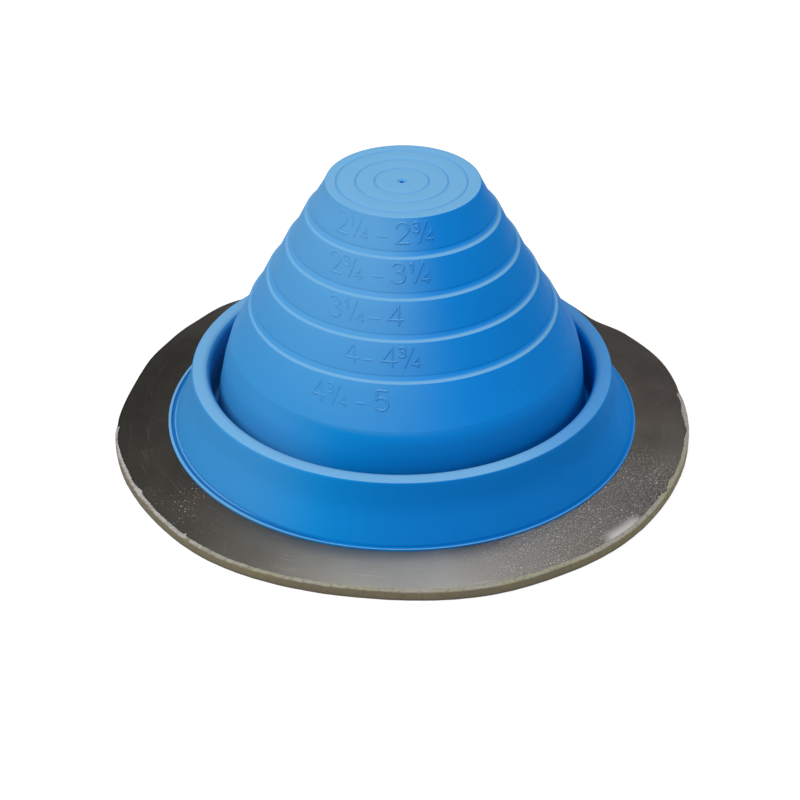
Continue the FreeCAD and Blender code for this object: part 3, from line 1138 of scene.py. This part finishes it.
# Studio light: strengths of the world, and where they rise, as components of the direction looked in
WORLD_BACK = 0.10
WORLD_TOP = 0.90
TOP_RISE = (0.62, 1.0)
WORLD_FRONT = 1.00
FRONT_WAY = (-0.12, -0.99)
FRONT_SPREAD = (-0.10, 0.60)
FRONT_RISE = (-0.1, 0.5)
WORLD_RIGHT = 1.10
RIGHT_SPREAD = (0.25, 0.90)
RIGHT_RISE = (-0.1, 0.3)
RIGHT_FALL = (0.75, 0.45)

# Lamps: name, place, width and power
LAMPS = (
    ("key", (-0.60, -0.35, 0.66), 0.5, 4.1),
    ("back_top", (0.04, 0.47, 0.82), 0.35, 1.3),
)
LAMP_TARGET = Vector((0, 0, 0.04))

# Camera: a long lens that looks down on the boot
LENS = 102.42
SENSOR_WIDTH = 36.0
CLIP_START = 0.01
CAMERA_DISTANCE = 0.789
CAMERA_ELEVATION = math.radians(33.84)
CAMERA_PITCH = math.radians(33.206)
CAMERA_YAW = math.radians(0.055)


def make_floor():
    """Plain floor; camera, glossy and transmission rays see it near white, and it keeps the shadow."""
    mesh = bpy.data.meshes.new("floor")
    corners = [(x * FLOOR_REACH, y * FLOOR_REACH, 0) for x, y in ((-1, -1), (1, -1), (1, 1), (-1, 1))]
    mesh.from_pydata(corners, [], [(0, 1, 2, 3)])
    floor = placed("floor", mesh)
    floor.location.z = FLOOR_HEIGHT
    material, tree, shader = new_material("pale_floor")
    tree.nodes.remove(shader)
    lit = node(tree, "ShaderNodeBsdfDiffuse", {"Color": FLOOR_GREY}).outputs[0]
    faint = node(tree, "ShaderNodeBsdfDiffuse", {"Color": FLOOR_SEEN_GREY}).outputs[0]
    glow = node(tree, "ShaderNodeEmission", {"Strength": FLOOR_SEEN_GLOW}).outputs[0]
    white = node(tree, "ShaderNodeAddShader", {0: faint, 1: glow}).outputs[0]
    path = node(tree, "ShaderNodeLightPath").outputs
    seen = highest(tree, path["Is Camera Ray"], path["Is Glossy Ray"], path["Is Transmission Ray"])
    chosen = node(tree, "ShaderNodeMixShader", {0: seen, 1: lit, 2: white}).outputs[0]
    tree.links.new(chosen, tree.nodes["Material Output"].inputs[0])
    mesh.materials.append(material)


def make_world():
    """Soft studio light from overhead, the front and the right, and a dim wall behind."""
    world = bpy.data.worlds.new("studio")
    bpy.context.scene.world = world
    world.use_nodes = True
    tree = world.node_tree
    background = tree.nodes["Background"]
    background.inputs["Color"].default_value = (1, 1, 1, 1)
    x, y, z = split(tree, node(tree, "ShaderNodeTexCoord").outputs["Generated"])
    overhead = ranged(tree, z, *TOP_RISE, WORLD_BACK, WORLD_BACK + WORLD_TOP)
    ahead = maths(tree, "ADD", times(tree, x, FRONT_WAY[0]), times(tree, y, FRONT_WAY[1]))
    front = times(tree, ranged(tree, ahead, *FRONT_SPREAD, 0, WORLD_FRONT), ranged(tree, z, *FRONT_RISE))
    low = times(tree, ranged(tree, z, *RIGHT_RISE), ranged(tree, z, *RIGHT_FALL))
    right = times(tree, ranged(tree, x, *RIGHT_SPREAD, 0, WORLD_RIGHT), low)
    sides = maths(tree, "ADD", front, right)
    tree.links.new(maths(tree, "ADD", overhead, sides), background.inputs["Strength"])


def make_lamp(name, place, width, power):
    lamp = bpy.data.lights.new(name, "AREA")
    lamp.shape = "DISK"
    lamp.size = width
    lamp.energy = power
    piece = bpy.data.objects.new(name, lamp)
    bpy.context.scene.collection.objects.link(piece)
    piece.location = place
    piece.rotation_euler = (LAMP_TARGET - Vector(place)).to_track_quat("-Z", "Y").to_euler()


def make_camera():
    camera = bpy.data.cameras.new("camera")
    camera.sensor_width = SENSOR_WIDTH
    camera.lens = LENS
    camera.clip_start = CLIP_START
    piece = bpy.data.objects.new("camera", camera)
    bpy.context.scene.collection.objects.link(piece)
    piece.location = (
        0,
        -CAMERA_DISTANCE * math.cos(CAMERA_ELEVATION),
        CAMERA_DISTANCE * math.sin(CAMERA_ELEVATION),
    )
    piece.rotation_euler = (math.pi / 2 - CAMERA_PITCH, 0, CAMERA_YAW)
    bpy.context.scene.camera = piece


# ---------------------------------------------------------------- scene

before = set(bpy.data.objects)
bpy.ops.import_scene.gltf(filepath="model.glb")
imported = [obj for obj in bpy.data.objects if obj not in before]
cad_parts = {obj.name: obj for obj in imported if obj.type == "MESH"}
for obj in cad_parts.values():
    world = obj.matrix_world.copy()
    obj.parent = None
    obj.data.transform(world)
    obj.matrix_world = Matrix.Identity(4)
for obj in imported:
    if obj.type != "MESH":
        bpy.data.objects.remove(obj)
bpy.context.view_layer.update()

make_camera()
make_floor()
make_world()
for lamp_row in LAMPS:
    make_lamp(*lamp_row)
bpy.context.scene.view_settings.view_transform = "Standard"

PIECES = (
    (make_boot, rubber_material, "boot", "rubber_boot"),
    (make_ring, metal_material, "base_ring", "ring_metal"),
    (make_seal, seal_material, "base_seal", "seal_layer"),
)
for make, material, cad_name, slot in PIECES:
    piece = make()
    piece.data.materials.append(material())
    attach(piece, "root")
    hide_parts(cad_name)

marks = make_marks()
marks.data.materials.append(bpy.data.materials["blue_rubber"])
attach(marks, "root")
